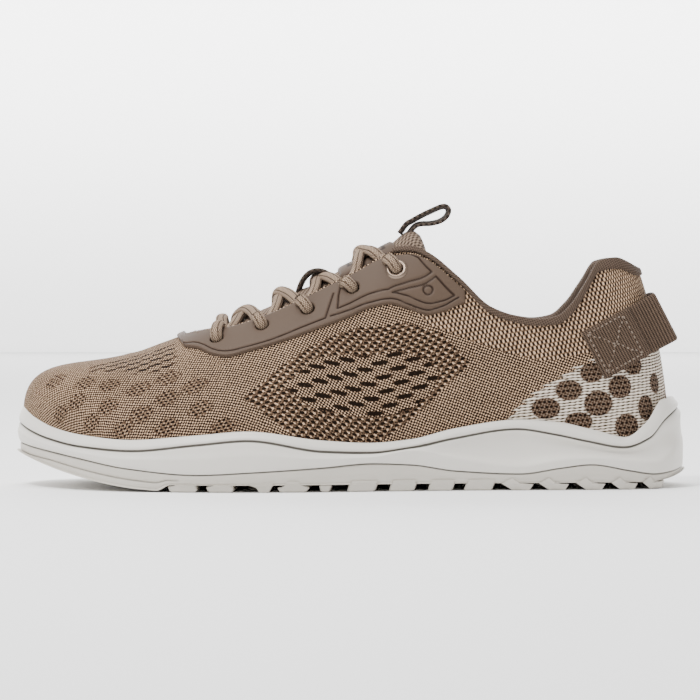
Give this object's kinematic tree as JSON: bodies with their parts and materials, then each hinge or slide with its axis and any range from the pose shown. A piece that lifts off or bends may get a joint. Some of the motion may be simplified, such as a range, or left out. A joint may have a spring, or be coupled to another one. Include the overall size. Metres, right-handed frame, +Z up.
{
  "type": "barefoot shoe",
  "caption": "Low knitted lace-up barefoot shoe for the left foot, with a thin cupped rubber sole, side lugs, moulded eyestay and a webbing pull loop at the heel.",
  "frame": {"origin": "on the floor, in the middle of the sole's length and width", "axes": "+Z up, -X towards the toe, -Y towards the outer (lateral) side"},
  "size_m": [0.29, 0.108, 0.1246],
  "materials": {
    "knit": "brown knitted textile, matt",
    "overlay": "smooth moulded film, satin",
    "binding": "dark brown woven binding, matt",
    "lace": "round braided polyester",
    "webbing": "ribbed woven webbing, matt",
    "rubber": "off-white moulded sole, matt",
    "tread": "off-white ground rubber, matt",
    "footbed": "dark textile over foam",
    "metal": "brown satin coated metal"
  },
  "bodies": {
    "root": {"outsole": "tread", "midsole": "rubber", "insole": "footbed", "upper": "knit", "eyestay": "overlay", "collar_cuff": "binding", "tongue": "knit", "tongue_tab": "overlay", "eyelet_lateral": "metal", "eyelet_medial": "metal", "lace_bar": "lace", "lace_cross_1": "lace", "lace_cross_2": "lace", "lace_cross_3": "lace", "lace_cross_4": "lace", "heel_webbing": "webbing", "tongue_pull_loop": "webbing", "lace_keeper": "webbing"}
  },
  "joints": []
}
